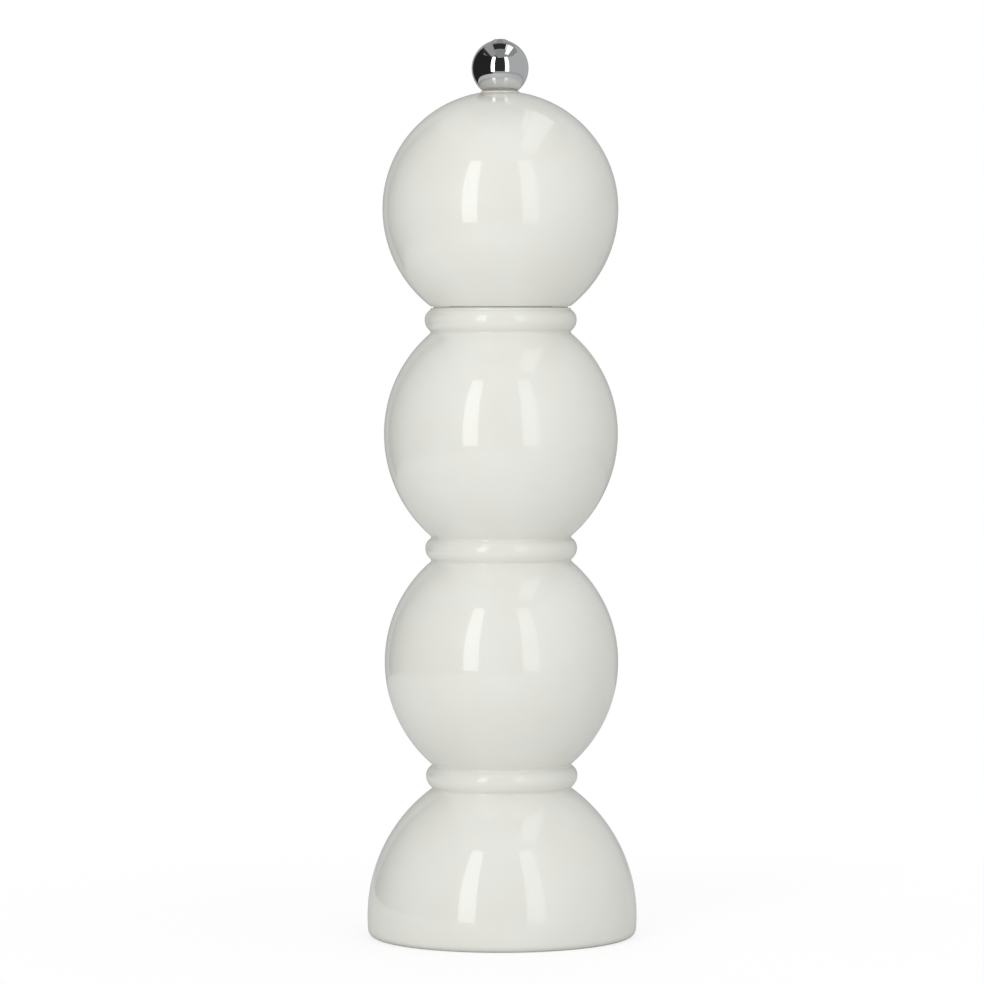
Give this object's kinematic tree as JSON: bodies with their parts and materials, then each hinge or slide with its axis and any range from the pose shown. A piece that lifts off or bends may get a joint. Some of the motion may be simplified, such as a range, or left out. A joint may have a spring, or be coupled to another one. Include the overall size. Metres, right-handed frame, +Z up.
{
  "type": "pepper mill",
  "caption": "Tall turned pepper mill: flared base, stacked balls and rings, a turning ball head, a chrome ball knob that sets the grind, and a ceramic burr grinder on a square shaft.",
  "frame": {"origin": "centre of the base's foot, on the surface that the mill stands on", "axes": "+Z up along the axis that the body was turned on; +X and +Y are arbitrary, with one housing screw on +X"},
  "size_m": [0.0722, 0.0722, 0.2397],
  "materials": {
    "white_lacquer": "white gloss lacquer over turned hardwood",
    "chrome": "polished chrome plating",
    "brass": "turned brass",
    "steel": "bright drawn or stamped steel",
    "spring_steel": "drawn spring wire",
    "white_nylon": "satin moulded nylon",
    "black_nylon": "satin moulded glass-filled nylon",
    "ceramic": "unglazed white technical ceramic"
  },
  "bodies": {
    "mill_body": {"body_foot": "white_lacquer", "body_base": "white_lacquer", "body_shell": "white_lacquer", "mouth_collar": "white_nylon", "grinder_housing": "black_nylon", "housing_screws": "steel", "stator": "ceramic", "stator_circlip": "spring_steel"},
    "drive": {"spring_washer": "steel", "spring": "spring_steel"},
    "spindle": {"shaft": "steel", "stop_clip": "spring_steel", "feed_screw": "black_nylon", "rotor": "ceramic", "rotor_washer": "steel", "rotor_nut": "steel"},
    "head": {"head_shell": "white_lacquer", "top_bush": "white_nylon", "driver_plate": "steel", "plate_screws": "steel"},
    "knob": {"knob": "chrome", "knob_insert": "brass", "lock_ring": "white_nylon"}
  },
  "joints": [
    {"name": "grind_turn", "type": "hinge", "parent": "mill_body", "child": "drive", "pos_m": [0, 0, 0.1686], "axis": [0, 0, 1], "continuous": true},
    {"name": "grind_adjust", "type": "slide", "parent": "drive", "child": "spindle", "axis": [0, 0, 1], "range_m": [-0.0008, 0.0008], "deforming": ["spring"]},
    {"name": "head_lift", "type": "slide", "parent": "drive", "child": "head", "axis": [0, 0, 1], "range_m": [0, 0.085]},
    {"name": "knob_turn", "type": "hinge", "parent": "head", "child": "knob", "pos_m": [0, 0, 0.23195], "axis": [0, 0, 1], "range_deg": [-360, 360]}
  ],
  "couplings": [
    {"joint": "knob_turn", "follows": "grind_adjust", "rad_per_m": -7854}
  ]
}
